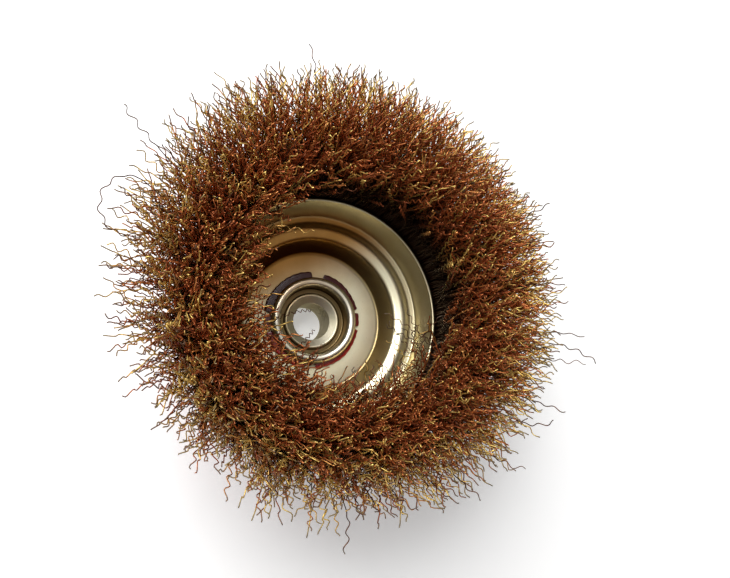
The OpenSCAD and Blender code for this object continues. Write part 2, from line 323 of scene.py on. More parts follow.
def lacquer():
    """Red under a clear coat, with chips, and painted shade on the folded petals, darkest on one side."""
    finish = Finish("red_lacquer")
    worn = finish.step(finish.noise(scale=420.0, detail=6.0, rough=0.7), 0.66, 0.69)
    clouds = finish.noise(scale=60.0)
    x, y, z = finish.parts(finish.place())
    folded = 1 - finish.step((x * x + y * y) ** 0.5, FOLD_DULL, FOLD_CLEAR)
    glossy = finish.blend(clouds, (0.58, 0.016, 0.014), (0.42, 0.01, 0.011))
    # Painted shade: the folded petals are painted dark, most towards +y, and lose their clear coat there.
    shaded_side = finish.step(y, SHADE_SIDE_START, SHADE_SIDE_FULL) * 0.85 + 0.1
    red = finish.blend(folded * shaded_side, glossy, (0.045, 0.008, 0.009))
    finish.surface(
        base_color=finish.blend(worn, red, (0.2, 0.17, 0.14)),
        metallic=worn * 0.9,
        roughness=worn * 0.2 + clouds * 0.08 + 0.24,
        coat_weight=(1 - worn) * (1 - folded * shaded_side) * 0.9,
        normal=finish.bump(finish.noise(scale=700.0, detail=2.0), strength=0.12, distance=0.0002),
    )
    finish.shader.inputs["Coat Roughness"].default_value = 0.12
    return finish.material


red_lacquer = lacquer()
print("lacquer nodes:", len(red_lacquer.node_tree.nodes))

# %% [markdown]
# ## Brassed wire
# The wire is steel with a thin brass coat that has tarnished to copper brown. No two wires match, so
# each carries its own random tint, and the colour also changes along it: darkened by painted shade deep in
# the brush, golden where it was rubbed clean, and grey brown at the worn tip, where the steel shows again.


# %% Wire colour from tint and place
def brassed_wire():
    """A ramp over tint, gold over it where rubbed, then painted shade at the root and bare steel at a worn
    tip.
    """
    finish = Finish("brassed_wire")
    tint, along, gold, worn = (finish.attribute(key) for key in ("tint", "along", "gold", "worn"))
    brown = finish.node(
        "ShaderNodeValToRGB",
        {"stops": [
            (0.0, (0.08, 0.06, 0.04)), (0.1, (0.19, 0.05, 0.019)), (0.55, (0.49, 0.135, 0.043)),
            (1.0, (0.80, 0.35, 0.105)),
        ]},
        {0: tint},
    )
    golden = finish.blend(finish.step(gold, 0.35, 0.9), brown, (0.94, 0.68, 0.20))
    tarnish = finish.step(finish.noise(scale=900.0), 0.5, 0.8)
    stained = finish.blend(tarnish * 0.4, golden, (0.24, 0.09, 0.036))
    # Painted shade: each wire darkens from its middle towards the root, deep in the brush.
    root_shade = finish.blend(finish.step(along, 0.2, 0.85), (0.05, 0.019, 0.009), stained)
    bare_tip = finish.step(along, 0.86, 0.98) * worn
    finish.surface(
        base_color=finish.blend(bare_tip * 0.85, root_shade, (0.14, 0.112, 0.08)),
        metallic=0.85 - bare_tip * 0.45,
        roughness=tarnish * 0.12 + 0.46,
    )
    return finish.material


wire_finish = brassed_wire()
print("finishes:", [m.name for m in bpy.data.materials])

# %% [markdown]
# ## Sheet metal as a bent line
# Plate, cup and collar are all thin sheet turned about one axis. Their section is easiest to draw as
# the sheet's middle line: a few corners, each with a bend radius. The line is then offset by half the
# thickness to both sides, the cut edges get a small round, and the closed outline is carried round.


# %% From corners to a closed outline
def unit(v):
    """Each direction divided by its length."""
    return v / np.linalg.norm(v, axis=-1, keepdims=True)


def bent_line(corners, radii, steps=10, guard=0.12):
    """Each inner corner becomes an arc: its centre lies on the bisector at r / sin(half angle).

    A guard point close to each end of the arc keeps the shading of the flats next to it flat."""
    corners, r = np.array(corners, float), np.array(radii, float)[:, None]
    inner = corners[1:-1]
    back, ahead = unit(corners[:-2] - inner), unit(corners[2:] - inner)
    half = np.arccos((back * ahead).sum(1, keepdims=True)) / 2
    centre = inner + unit(back + ahead) * r / np.sin(half)
    first, last = (inner + side * r / np.tan(half) - centre for side in (back, ahead))
    start, stop = (np.arctan2(v[:, 1:], v[:, :1]) for v in (first, last))
    turn = (stop - start + 3 * np.pi) % (2 * np.pi) - np.pi
    angle = start + turn * np.linspace(0, 1, steps)
    arc = centre[:, None] + r[:, None] * np.stack([np.cos(angle), np.sin(angle)], -1)
    guards = [(arc[:, k] + side * guard)[:, None] for k, side in ((0, back), (-1, ahead))]
    bends = np.concatenate([guards[0], arc, guards[1]], 1).reshape(-1, 2)
    return np.concatenate([corners[:1], bends, corners[-1:]])


def sheet_section(line, thickness, steps=7):
    """The line's offsets to both sides, joined by a half circle at each end."""
    ahead = unit(np.gradient(line, axis=0))
    normal = np.stack([-ahead[:, 1], ahead[:, 0]], 1)
    swing = np.linspace(0, np.pi, steps + 2)[1:-1, None]
    far = line[-1] + (np.cos(swing) * normal[-1] + np.sin(swing) * ahead[-1]) * thickness / 2
    near = line[0] - (np.cos(swing) * normal[0] + np.sin(swing) * ahead[0]) * thickness / 2
    side = normal * thickness / 2
    return np.concatenate([line + side, far, (line - side)[::-1], near])


def turned(section, steps):
    """The section (r, z) carried round the axis: (r cos a, r sin a, z), as rows of points."""
    r, z = section.T
    twice_area = np.sum(r * np.roll(z, -1) - np.roll(r, -1) * z)
    if twice_area < 0:
        # This outline runs the other way, and its faces would point inwards.
        r, z = r[::-1], z[::-1]
    a = np.linspace(0, 2 * np.pi, steps, endpoint=False)
    return np.stack(np.broadcast_arrays(r[:, None] * np.cos(a), r[:, None] * np.sin(a), z[:, None]), -1)


def closed_grid(rows, columns):
    """Corners of every cell of a grid that closes in both directions."""
    i, j = np.indices((rows, columns))
    k, m = (i + 1) % rows, (j + 1) % columns
    return np.stack([i * columns + j, i * columns + m, k * columns + m, k * columns + j], -1).reshape(-1, 4)


def make_turned(name, grid, finish):
    """A piece from rows of points that close in both directions, standing for the node of the same start."""
    return make_piece(
        name + "_dressed", grid.reshape(-1, 3), [closed_grid(*grid.shape[:2])], finish, name
    )


# %% [markdown]
# ## The inner plate
# One disc of zinc plated sheet holds the wires down. It has a flat floor, a rounded step, a shallow
# groove that stiffens it, and a steep outer wall whose edge presses on the wires.

# %% Plate
STEP_H, WALL_H = 6.6, 7.4
SHOULDER_FALL, GROOVE_DEPTH = 0.7, 0.5
floor_mid = plate_box[0][2] + SHEET / 2
shoulder_z = floor_mid + STEP_H
plate_line = bent_line(
    [(13.0, floor_mid), (23.0, floor_mid), (26.5, shoulder_z - SHOULDER_FALL), (29.2, shoulder_z),
     (31.4, shoulder_z - GROOVE_DEPTH), (33.6, shoulder_z), (36.8, shoulder_z + WALL_H)],
    [1.5, 2.0, 3.0, 3.0, 1.2],
)
plate_grid = turned(sheet_section(plate_line, SHEET), 256)
plate = make_turned("inner_plate", plate_grid, bright_plate)
print("plate points", len(plate.data.vertices), "size", [round(v, 4) for v in plate.dimensions])

# %% [markdown]
# ## The outer cup
# The red cup is drawn from one disc. Its mouth is curled outwards for stiffness, and its neck comes up
# through the plate and is slit and folded flat into petals, which rivet the two together. The petals
# are part of the same turned surface: in a slot, the petal's reach shrinks to nothing.

# %% Cup with a curled lip
cup_mid = washer_top + SHEET / 2
cup_wall = cup_r + SHEET / 2
petal_mid = floor_mid + SHEET
neck_mid = 12.3
petal_edge = 15.6
FOLD_R, CUP_CORNER_R = 0.65, 9.0
LIP_STRAIGHT = 0.3
curl = np.radians(np.linspace(180, -75, 18))[1:, None]
curl_r = cup_bead_r - SHEET / 2
curl_mid = np.array([cup_r + cup_bead_r, cup_lip_z])
lip_curl = curl_mid + curl_r * np.concatenate([np.cos(curl), np.sin(curl)], 1)
cup_line = bent_line(
    [(petal_edge, petal_mid), (neck_mid, petal_mid), (neck_mid, cup_mid), (cup_wall, cup_mid),
     (cup_wall, cup_lip_z - LIP_STRAIGHT)],
    [FOLD_R, FOLD_R, CUP_CORNER_R],
)
cup_section = sheet_section(np.concatenate([cup_line, lip_curl]), SHEET)
cup_grid = turned(cup_section, 540)
print("cup section", len(cup_section), "points, wall at", round(cup_wall, 2))

# %% [markdown]
# The petals are a change to that finished surface. Every point beyond the fold is drawn back towards
# it by a share that depends on its angle alone: next to all the way in a slot, and hardly on a petal.

# %% Petals
SLOTS = np.radians([84, 267, -7, 14, 173, 194])
SLOT_WIDTHS = np.array([3.6, 3.6, 0.8, 0.8, 0.8, 0.8])
PETAL_MIDDLE_R = 14.6
CORNER_TURN = 0.035
SLIVER = 0.03


def petal_reach(angle):
    """How far a petal reaches at each angle, from next to nothing in a slot to 1, with an uneven edge."""
    half_widths = SLOT_WIDTHS / 2 / PETAL_MIDDLE_R
    away = np.abs((angle[:, None] - SLOTS + np.pi) % (2 * np.pi) - np.pi) - half_widths
    corner = np.clip(away.min(1) / CORNER_TURN, 0, 1)
    longer_one_side = 0.11 * np.cos(angle - 2)
    ragged = longer_one_side + 0.03 * np.sin(7 * angle + 1) + 0.02 * np.sin(41 * angle + 2)
    return np.maximum(np.sqrt(1 - (1 - corner) ** 2) ** 0.5 * (0.9 + ragged), SLIVER)


around = np.linspace(0, 2 * np.pi, cup_grid.shape[1], endpoint=False)
radius = np.hypot(cup_grid[..., 0], cup_grid[..., 1])
fold_edge = neck_mid + FOLD_R
on_petal = (cup_grid[..., 2] > petal_mid - SHEET) & (radius > fold_edge) & (radius < petal_edge + SHEET)
shrunk = fold_edge + (radius - fold_edge) * petal_reach(around)
cup_grid[..., :2] *= np.where(on_petal, shrunk / radius, 1)[..., None]
cup = make_turned("outer_cup", cup_grid, red_lacquer)
print("cup points", len(cup.data.vertices))

# %% [markdown]
# ## Collar, washer and anchor hoop
# The collar is a polished ring with a rolled bead; its foot is clamped under the nut's lip and its
# outer edge stands on the petals. The washer stiffens the cup from behind. The hoop is a plain rod
# bent into a ring, which every wire is folded over.

# %% Collar
NECK_HOLE_R = 8.6
BEAD_R, BEAD_RISE = 1.0, 1.9
COLLAR_BEND_R = 0.9
petal_top = petal_mid + SHEET / 2
bead = np.array([12.4, petal_top + BEAD_RISE])
bead_arc = np.radians(np.linspace(180, 0, 16))[:, None]
foot_mid = washer_top + SHEET / 2
collar_foot = bent_line(
    [(NECK_HOLE_R, foot_mid), (bead[0] - 1.2 * BEAD_R, foot_mid), (bead[0] - BEAD_R, bead[1])],
    [COLLAR_BEND_R],
)
collar_line = np.concatenate([
    collar_foot[:-1],
    bead + BEAD_R * np.concatenate([np.cos(bead_arc), np.sin(bead_arc)], 1),
    [(bead[0] + BEAD_R, petal_top + SHEET / 2)],
])
collar_grid = turned(sheet_section(collar_line, SHEET), 192)
collar = make_turned("front_collar", collar_grid, collar_steel)
print("collar points", len(collar.data.vertices))


# %% Washer and hoop
WASHER_EDGE = 0.3


def rounded_ring(low, high, edge):
    """Section of a flat ring from corner low (r, z) to corner high, with rounded edges.

    The line starts at the middle of the lower side, and ends just short of where it started."""
    (a, b), (c, d) = low, high
    middle = (a + c) / 2
    corners = [(middle, b), (c, b), (c, d), (a, d), (a, b), (middle - 0.01, b)]
    return bent_line(corners, [edge] * 4, steps=5, guard=0.05)


washer_section = rounded_ring((NECK_HOLE_R, washer_low), (washer_box[1][0], washer_top), WASHER_EDGE)
make_turned("back_washer", turned(washer_section, 160), washer_steel)
spin = np.linspace(0, 2 * np.pi, 16, endpoint=False)[:, None]
hoop_section = hoop + rod_r * np.concatenate([np.cos(spin), np.sin(spin)], 1)
make_turned("anchor_ring", turned(hoop_section, 128), ring_steel)
print("washer", washer_section.shape, "hoop", hoop_section.shape)

# %% [markdown]
# ## The hub nut
# The nut is one turned part: a hexagon for the spanner, a neck that passes through washer and cup,
# a lip rolled over the collar, and the M14 thread inside. A hexagon and a thread aren't turned shapes,
# but both are a radius that changes with the angle. The hexagon's radius is a soft minimum of its six
# flats and of the two chamfer cones, and the thread's is a wave that climbs one pitch in each turn.


# %% The hub's section
CREST_R = 6.0
SINK = 1.4
NECK_R = 8.4
PAST_HEX = 20.0
EDGE = 0.15
SIDE_ROWS, BORE_ROWS = 30, 110
hex_top = washer_low
bore_low, bore_high = 0.85, lip_top - SINK - 0.1
lip_middle, lip_half = np.array([8.45, lip_top - 0.9]), np.array([0.85, 0.9])


def hub_section():
    """Corners of the hub's section from the back face, up the outside and down the bore.

    The sides of the hexagon are drawn past it, and the next cell brings them in to its flats. Each of
    its faces has two more rows, near the rim and near the neck, so that the faces stay flat."""
    sides = np.linspace(EDGE, hex_top - EDGE, SIDE_ROWS)
    outside = np.stack([np.full(SIDE_ROWS, PAST_HEX), sides], 1)
    face = np.array([(PAST_HEX, hex_top), (10.5, hex_top), (8.7, hex_top)])
    neck = np.array([(NECK_R, hex_top + 0.05), (NECK_R, lip_top - 1.9)])
    swing = np.radians(np.linspace(-90, 90, 9))[:, None]
    lip = lip_middle + lip_half * np.concatenate([np.cos(swing), np.sin(swing)], 1)
    sink = np.array([(8.3, -0.02), (8.15, -0.1), (6.15, 0.08 - SINK), (CREST_R, -SINK)]) + [0, lip_top]
    bore = np.stack([np.full(BORE_ROWS, CREST_R), np.linspace(bore_high, bore_low, BORE_ROWS)], 1)
    mouth = np.array([(CREST_R, 0.8), (6.1, 0.7), (6.7, 0.1), (6.9, 0.0)])
    back = np.array([(8.0, 0.0), (10.5, 0.0), (PAST_HEX, 0.0)])
    return np.concatenate([outside, face, neck, lip, sink, bore, mouth, back])


hub_r, hub_z = hub_section().T
turn_angle = np.linspace(0, 2 * np.pi, 288, endpoint=False)
print("hub section", len(hub_r), "points")


# %% Hexagon
SHARPNESS = 90
CHAMFER_START, CHAMFER_SLOPE = 0.2, 1.75


def hexed(r, z, angle):
    """Soft minimum of r with the six flats and the chamfer cones: the p-norm of 1 / distance."""
    flats = np.radians(np.arange(30, 390, 60))
    facing = np.clip(np.cos(angle[None, :, None] - flats), 0, None) / (hex_flats / 2)
    cone = hex_flats / 2 - CHAMFER_START + CHAMFER_SLOPE * np.minimum(z, hex_top - z)
    reach = (facing**SHARPNESS).sum(-1) + (1 / cone)[:, None] ** SHARPNESS + (1 / r)[:, None] ** SHARPNESS
    return reach ** (-1 / SHARPNESS)


on_hexagon = (hub_r > 9.4) & (hub_z < hex_top + 0.01)
hub_radius = np.where(on_hexagon[:, None], hexed(hub_r, hub_z, turn_angle), hub_r[:, None])
print("corner to corner", round(2 * hub_radius.max(), 2), "mm")

# %% Thread, and the nut itself
THREAD_PITCH = 2.0
THREAD_DEPTH = 0.95
RUN_IN, RUN_OUT = 0.6, 0.3

# A triangle wave of height and angle, made steeper and cut off flat at crest and root, is the groove.
phase = (hub_z[:, None] / THREAD_PITCH - turn_angle / (2 * np.pi)) % 1
groove = np.clip(1.35 * (1 - np.abs(2 * phase - 1)) - 0.1, 0, 1)
starting = np.clip((hub_z - bore_low - 0.05) / RUN_IN, 0, 1)
ending = np.clip((bore_high - hub_z) / RUN_OUT, 0, 1)
in_bore = (hub_r < CREST_R + 0.01) & (hub_z > bore_low - 0.01) & (hub_z < bore_high + 0.05)
depth = np.where(in_bore, starting * ending, 0) * THREAD_DEPTH
hub_radius = hub_radius + depth[:, None] * groove
hub_grid = np.stack(
    np.broadcast_arrays(hub_radius * np.cos(turn_angle), hub_radius * np.sin(turn_angle), hub_z[:, None]), -1
)
hub = make_turned("hub_nut", hub_grid, hub_steel)
print("hub points", len(hub.data.vertices), "size", [round(v, 4) for v in hub.dimensions])

# %% [markdown]
# ## Wire
# Curves with a bevel would do for a few wires, but not for six thousand. Here all the wires of a
# bundle are one array of centre lines. A tube follows each line: at every point the tangent and a
# guide direction give two square directions, and a small ring of points is set out along them.


# %% Tubes along many lines at once
def tubes(lines, radius, sides, guide):
    """Rings of points about lines[wire, place]: centre + radius (cos q U + sin q V).

    T is the line's own direction, U is guide x T, and V is T x U."""
    ahead = unit(np.gradient(lines, axis=1))
    u = unit(np.cross(guide, ahead))
    v = np.cross(ahead, u)
    q = np.arange(sides) * 2 * np.pi / sides
    rings = np.cos(q)[:, None] * u[:, :, None] + np.sin(q)[:, None] * v[:, :, None]
    return lines[:, :, None] + radius * rings


def tube_faces(count, places, sides):
    """Walls between neighbouring rings, and one cap at each end of every tube."""
    w, i, j = np.indices((count, places - 1, sides))
    a = (w * places + i) * sides
    k = (j + 1) % sides
    walls = np.stack([a + j, a + k, a + sides + k, a + sides + j], -1).reshape(-1, 4)
    first = np.arange(count)[:, None] * places * sides
    ends = np.concatenate([first + np.arange(sides)[::-1], first + (places - 1) * sides + np.arange(sides)])
    return [walls, ends]


def tube_map(count, places, sides):
    """Unrolls every tube into its own strip: u along it, and v across the strips."""
    w, i, j = np.indices((count, places - 1, sides))
    u = np.stack([i, i, i + 1, i + 1], -1) / (places - 1)
    v = (w[..., None] + (np.stack([j, j + 1, j + 1, j], -1) / sides) * 0.9 + 0.05) / count
    walls = np.stack([u, v], -1).reshape(-1, 2)
    middle = (np.arange(count) + 0.5) / count
    ends = np.concatenate([np.stack([np.full(count, e), middle], 1) for e in (0.0, 1.0)])
    return np.concatenate([walls, np.repeat(ends, sides, 0)])


def make_wires(name, lines, guide, tint, gold, worn, radius, sides, node):
    """One piece of many wires, with each wire's tint and how far each point is along it."""
    count, places = lines.shape[:2]
    along = np.broadcast_to(np.linspace(0, 1, places)[:, None], (count, places, sides))
    per_wire = {"tint": tint, "gold": gold, "worn": worn}
    numbers = {key: np.broadcast_to(v[:, None, None], (count, places, sides)) for key, v in per_wire.items()}
    return make_piece(
        name,
        tubes(lines, radius, sides, guide).reshape(-1, 3),
        tube_faces(count, places, sides),
        wire_finish, node,
        {**numbers, "along": along}, tube_map(count, places, sides),
    )


# %% [markdown]
# ## The crown
# Each wire is folded over the hoop, leaves the mouth between plate and cup, and bends over to its own
# lean. Use has worn the crown: it leans to one side, and wires have gathered into tufts. So the lean
# is the bundle's fan angle plus a lean to one side, plus soft waves that neighbours share, plus chance.

# %% Where each wire stands
BUNDLES = 24
PER_BUNDLE = 264
rng = np.random.default_rng(7)
total = BUNDLES * PER_BUNDLE
sector = 2 * np.pi / BUNDLES
bundle = np.repeat(np.arange(BUNDLES), PER_BUNDLE)
azimuth = (bundle + rng.uniform(0.02, 0.98, total)) * sector
across = rng.uniform(0, 1, total)
mouth_in, mouth_out = np.array([37.7, 28.2]), np.array([41.1, 31.6])
fan = np.array([39.4, 31.9])
print("wires", total, "in", BUNDLES, "bundles")

# %% How far each wire leans, and how long it is
TRIM = 34.0
SPLAY_IN, SPLAY_OUT, LEAN_IN, LEAN_OUT, LEAN_TO, LONG_TO = np.radians([17, 41, 14, 19, 64, 80])
ANY_START = 6.3


def waves(count, low, high, strength):
    """The mean of a few sines of azimuth and place across the fan, with random lengths and starts."""
    round_it = rng.integers(low, high, count)
    through = rng.uniform(-2, 2, count)
    start = rng.uniform(0, ANY_START, count)
    sines = np.sin(azimuth[:, None] * round_it + across[:, None] * through * ANY_START + start)
    return strength * sines.mean(1) * 2


towards = np.cos(azimuth - LEAN_TO)
lean = (LEAN_IN * towards - SPLAY_IN) * (1 - across) + (LEAN_OUT * towards + SPLAY_OUT) * across
lean += waves(3, 22, 60, 0.05) + np.clip(rng.normal(0, 0.12, total), -0.28, 0.28)
twist = waves(3, 26, 70, 0.055) + rng.normal(0, 0.19, total)
longer = 0.03 * np.clip(np.cos(azimuth - LONG_TO), 0, 1) ** 2
length = TRIM * (1 + longer + waves(3, 9, 40, 0.03) + np.clip(rng.normal(0, 0.06, total), -0.15, 0.12))
print("lean", np.degrees(lean.min()).round(), "to", np.degrees(lean.max()).round(), "degrees")

# %% [markdown]
# A wire's line is built up in three layers. The first is a plain quadratic curve from the mouth to the
# tip. The second is what use does to a wire, a sway and a slow bend of its own. The third is the crimp,
# a short wave that was rolled into the wire before the brush was made, in a plane that differs by wire.


# %% The plain curve
BEND_AT = 0.45


def polar(angle, r, z):
    """Points at radius r and height z in the direction angle."""
    return np.stack([r * np.cos(angle), r * np.sin(angle), z + 0 * angle], -1)


def quadratic(start, middle, end, s):
    """(1 - s) squared x start + 2 s (1 - s) x middle + s squared x end, for every wire."""
    return (1 - s) ** 2 * start[:, None] + 2 * s * (1 - s) * middle[:, None] + s**2 * end[:, None]


def plain_lines(angle, lean, twist, length, start, s):
    """A quadratic curve from the mouth to the tip, and the two directions that are square to it.

    The middle point lies along half the lean, so a wire leaves the mouth steeply and then bends over."""
    out, side, up = polar(angle, 1, 0), polar(angle + np.pi / 2, 1, 0), np.array([0, 0, 1.0])
    lean, twist, length = (v[:, None] for v in (lean, twist, length))
    heading = np.sin(lean / 2) * out + np.cos(lean / 2) * up
    aim = np.cos(twist) * (np.sin(lean) * out + np.cos(lean) * up) + np.sin(twist) * side
    normal = np.cos(lean) * out - np.sin(lean) * up
    middle = start + BEND_AT * length * heading
    tip = polar(angle, *fan) + length * aim
    return quadratic(start, middle, tip, s), side, normal


# %% Use and crimp
SWAY, MOST_SWAY = 2.7, 6
TAME_SHARE = 0.93
CRIMP_PITCH, CRIMP_HEIGHT = (2.9, 4.1), (0.45, 0.8)


def used(line, side, normal, s):
    """Shifts each wire both ways by s squared x sway + s x a slow wave; a few wires sway three times more."""
    many = (2, len(line), 1, 1)
    sway = rng.normal(0, SWAY, many)
    wild = rng.random((1, len(line), 1, 1)) > TAME_SHARE
    sway = np.clip(sway * (1 + 2 * wild), -MOST_SWAY, MOST_SWAY)
    slow = 0.5 * np.sin(ANY_START * (s * rng.uniform(0.6, 1.6, many) + rng.random(many)))
    shift = s**2 * sway + s * slow
    return line + shift[0] * side[:, None] + shift[1] * normal[:, None]


def crimped(line, side, normal, length, s):
    """Adds height x sin(2 pi x length x s / pitch + start) in each wire's plane, fading out at the root."""
    n = len(line)
    pitch = rng.uniform(*CRIMP_PITCH, n)
    start = rng.uniform(0, ANY_START, n)
    plane = rng.uniform(0, np.pi, n)
    height = rng.uniform(*CRIMP_HEIGHT, n)
    turns = 2 * np.pi * (length / pitch)[:, None, None] * s + start[:, None, None]
    wave = height[:, None, None] * np.minimum(1, 3 * s**2) * np.sin(turns)
    flat = (np.cos(plane)[:, None] * side + np.sin(plane)[:, None] * normal)[:, None]
    return line + wave * flat


# %% Roots round the hoop
def hooked_roots(angle, inner):
    """Two points of each wire round the hoop: one under it, and one on the side that the wire leaves by."""
    n = len(angle)
    fold = rod_r + 0.4 + rng.uniform(0, 0.5, n) + np.where(inner, 0, rng.uniform(0, 0.8, n))
    under = np.radians(rng.uniform(-130, -80, n))
    beside = np.radians(np.where(inner, 165, 15))
    ends = [polar(angle, hoop[0] + fold * np.cos(t), hoop[1] + fold * np.sin(t)) for t in (under, beside)]
    return np.stack(ends, 1)


# %% The crown's lines
PLACES = 40
CLOSER_AT_ROOT = 0.62
start = polar(azimuth, *(mouth_in + (mouth_out - mouth_in) * across[:, None]).T)
roots = hooked_roots(azimuth, across < 0.5)
s = np.linspace(0, 1, PLACES)[:, None] ** CLOSER_AT_ROOT
line, side, normal = plain_lines(azimuth, lean, twist, length, start, s)
line = used(line, side, normal, s)
crown = np.concatenate([roots, crimped(line, side, normal, length, s)], 1)
print("crown lines", crown.shape, "from", crown[..., 2].min().round(1), "to", crown[..., 2].max().round(1))

# %% What colours each wire
tint = np.clip(rng.normal(0.5, 0.2, total), 0, 1)
rubbed = rng.random(total) ** 3
outside = np.clip((across - 0.5) / 0.25, 0, 1)
gold = np.clip(rubbed + 0.85 * rng.random(total) * outside, 0, 1)
worn = np.clip((across - 0.65) / 0.2, 0.1, 1)
print("golden wires", int((gold > 0.9).sum()), "of", total)

# %% One piece for each bundle
WIRE_R, WIRE_SIDES = 0.19, 3
guides = polar(azimuth + np.pi / 2, 1, 0)[:, None]
for k in range(BUNDLES):
    here = bundle == k
    name = f"wire_bundle_{k + 1:02d}"
    looks = tint[here], gold[here], worn[here]
    made = make_wires(name + "_wires", crown[here], guides[here], *looks, WIRE_R, WIRE_SIDES, name)
print("bundle faces", len(made.data.polygons), "times", BUNDLES)

# %% [markdown]
# ## Stray wires
# A few wires stick out past the crown, and one has come loose into a wide loop. They follow the same
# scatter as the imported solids, but each is drawn whole, from the mouth of the cup to its tip. The
# scatter is what n times a fixed fraction leaves after the point, which spreads without a random draw.

# %% Which wires stray
STRAYS = 36
GOLDEN_ANGLE = 137.5
number = np.arange(1, STRAYS + 1)
place, droop, reach, bend, swing = ((number * k) % 1 for k in (0.618, 0.8567, 0.7549, 0.5698, 0.4142))
strays = np.array([
    (number * GOLDEN_ANGLE) % 360, 0.5 * place, 20 * droop, 5 + 7 * reach, 120 * (bend - 0.5), 360 * swing
]).T
# Direction, place across, droop, reach, bend and swing of the wires that were pulled out further.
pulled = [
    (152, 0, 20, 31.2, 240, 0), (143, 0, 15, 15.6, 20, 90), (352, 0, 15, 14.4, 35, 180),
    (97, 0, 15, 9.6, 20, 0), (268, 0, 25, 12, 25, 180),
]
stray_a, stray_place, stray_droop, stray_reach, stray_bend, stray_swing = np.concatenate([strays, pulled]).T
stray_a, stray_droop, stray_bend, stray_swing = np.radians([stray_a, stray_droop, stray_bend, stray_swing])
print("longest stray", stray_reach.max(), "mm, widest bend", round(np.degrees(stray_bend.max())), "degrees")

# %% How they leave the crown
REACH = 33.3
fan_out, fan_in, fan_lean, fan_to = np.radians([42, -17, 18, 65])
middle_a = (np.floor(stray_a / sector) + 0.5) * sector
to_side = fan_lean * np.cos(middle_a - fan_to)
stray_lean = fan_out + to_side + stray_place * (fan_in - fan_out)
print("strays lean up to", round(np.degrees(stray_lean.max())), "degrees")


# %% Their lines
STRAY_PLACES, INNER_PLACES = 44, 12
STRAY_CRIMP, STRAY_PITCH = 0.6, 4.6
LEAST_BEND = 0.02


def stray_lines(a, lean, droop, reach, bend, swing):
    """A wire through the crown to its surface, then an arc of the whole angle bend with the crimp.

    The arc is root + reach / bend x (sin(bend s) d + (1 - cos(bend s)) n), for d ahead and n across."""
    s = np.linspace(0, 1, STRAY_PLACES)[:, None]
    side = polar(a + np.pi / 2, 1, 0)
    d = polar(a, np.sin(lean + droop), np.cos(lean + droop))
    n = np.cos(swing)[:, None] * side + np.sin(swing)[:, None] * np.cross(d, side)
    root = polar(a, fan[0] + REACH * np.sin(lean), fan[1] + REACH * np.cos(lean))
    bent = np.where(np.abs(bend) < LEAST_BEND, LEAST_BEND, bend)[:, None, None]
    reach = reach[:, None, None]
    arc = root[:, None] + reach / bent * (np.sin(bent * s) * d[:, None] + (1 - np.cos(bent * s)) * n[:, None])
    across = -np.sin(bent * s) * d[:, None] + np.cos(bent * s) * n[:, None]
    wave = STRAY_CRIMP * np.minimum(1, 3 * s) * np.sin(2 * np.pi * reach * s / STRAY_PITCH)
    arc = arc + wave * (np.cross(d, n)[:, None] + across) / np.sqrt(2)
    start = polar(a, 40.5 + 0 * a, 31.2)
    middle = start + BEND_AT * REACH * polar(a, np.sin(lean / 2), np.cos(lean / 2))
    inner_s = np.linspace(0, 1, INNER_PLACES, endpoint=False)[:, None]
    return np.concatenate([quadratic(start, middle, root, inner_s), arc], 1), np.cross(d, n)[:, None]


lines, stray_guide = stray_lines(stray_a, stray_lean, stray_droop, stray_reach, stray_bend, stray_swing)
print("stray wires", len(lines), "with", lines.shape[1], "places each")

# %% [markdown]
# ## Loose wires over the plate
# Some wires have bent inwards and lie over the plate and the bore. Each is a quadratic curve from the
# inner wall of the crown, past a point low over the metal, to its tip, with the same crimp. A few are
# listed one by one, and many short ones are scattered along the side where the crown leans inwards.

# %% Where the loose wires lie
SCATTERED = 110
# Direction and height of the root, direction, radius and height of the tip, and radius of the low point.
by_hand = np.array([
    (200, 42, 110, 3, 18, 9), (225, 42, 270, 3, 18, 9), (240, 40, 290, 8, 20, 12),
    (330, 40, 362, 38, 35, 28), (335, 38, 353, 33, 33, 26), (300, 44, 330, 37, 39, 27),
], float)
leaves = rng.uniform(190, 345, SCATTERED)
scattered = np.stack([
    leaves, rng.uniform(32, 42, SCATTERED), leaves + rng.uniform(-25, 25, SCATTERED),
    rng.uniform(18, 34, SCATTERED), rng.uniform(24, 34, SCATTERED), rng.uniform(26, 33, SCATTERED),
], 1)
root_a, root_z, tip_a, tip_r, tip_z, low_r = np.concatenate([by_hand, scattered]).T
root_a, tip_a = np.radians([root_a, tip_a])
count = len(by_hand) + SCATTERED
print("loose wires", count)

# %% Their curves
CROWN_WALL_R = 38.5
LOOSE_CRIMP, LOOSE_PITCH = 0.5, 3.9
s = np.linspace(0, 1, lines.shape[1])[:, None]
root, tip = polar(root_a, CROWN_WALL_R, root_z), polar(tip_a, tip_r, tip_z)
low = polar((root_a + tip_a) / 2, low_r, np.where(low_r < 20, 19, 27))
loose_lines = quadratic(root, low, tip, s)
sideways = unit(np.cross(unit(tip - root), [0, 0, 1]))
long = np.linalg.norm(np.diff(loose_lines, axis=1), axis=2).sum(1)[:, None, None]
turns = 2 * np.pi * long * s / LOOSE_PITCH + np.arange(count)[:, None, None]
loose_lines += LOOSE_CRIMP * np.sin(turns) * sideways[:, None]
print("loose wires are", long.min().round(1), "to", long.max().round(1), "mm long")

# %% One piece of all of them
THIN_R, THIN_SIDES = 0.15, 4
LOOSE_GUIDE = [0.2, 0.3, 1.0]
golden_ones = np.arange(count) % 6 > 3
stray_piece = make_wires(
    "stray_wires_drawn",
    np.concatenate([lines, loose_lines]),
    np.concatenate([stray_guide, np.tile(LOOSE_GUIDE, (count, 1, 1))]),
    np.concatenate([np.full(len(lines), 0.04), rng.uniform(0, 0.1, count)]),
    np.concatenate([np.zeros(len(lines)), golden_ones * rng.uniform(0.4, 0.9, count)]),
    np.concatenate([np.ones(len(lines)), 1.0 - golden_ones]),
    THIN_R, THIN_SIDES, "stray_wires",
)
print("faces of strays and loose wires", len(stray_piece.data.polygons))

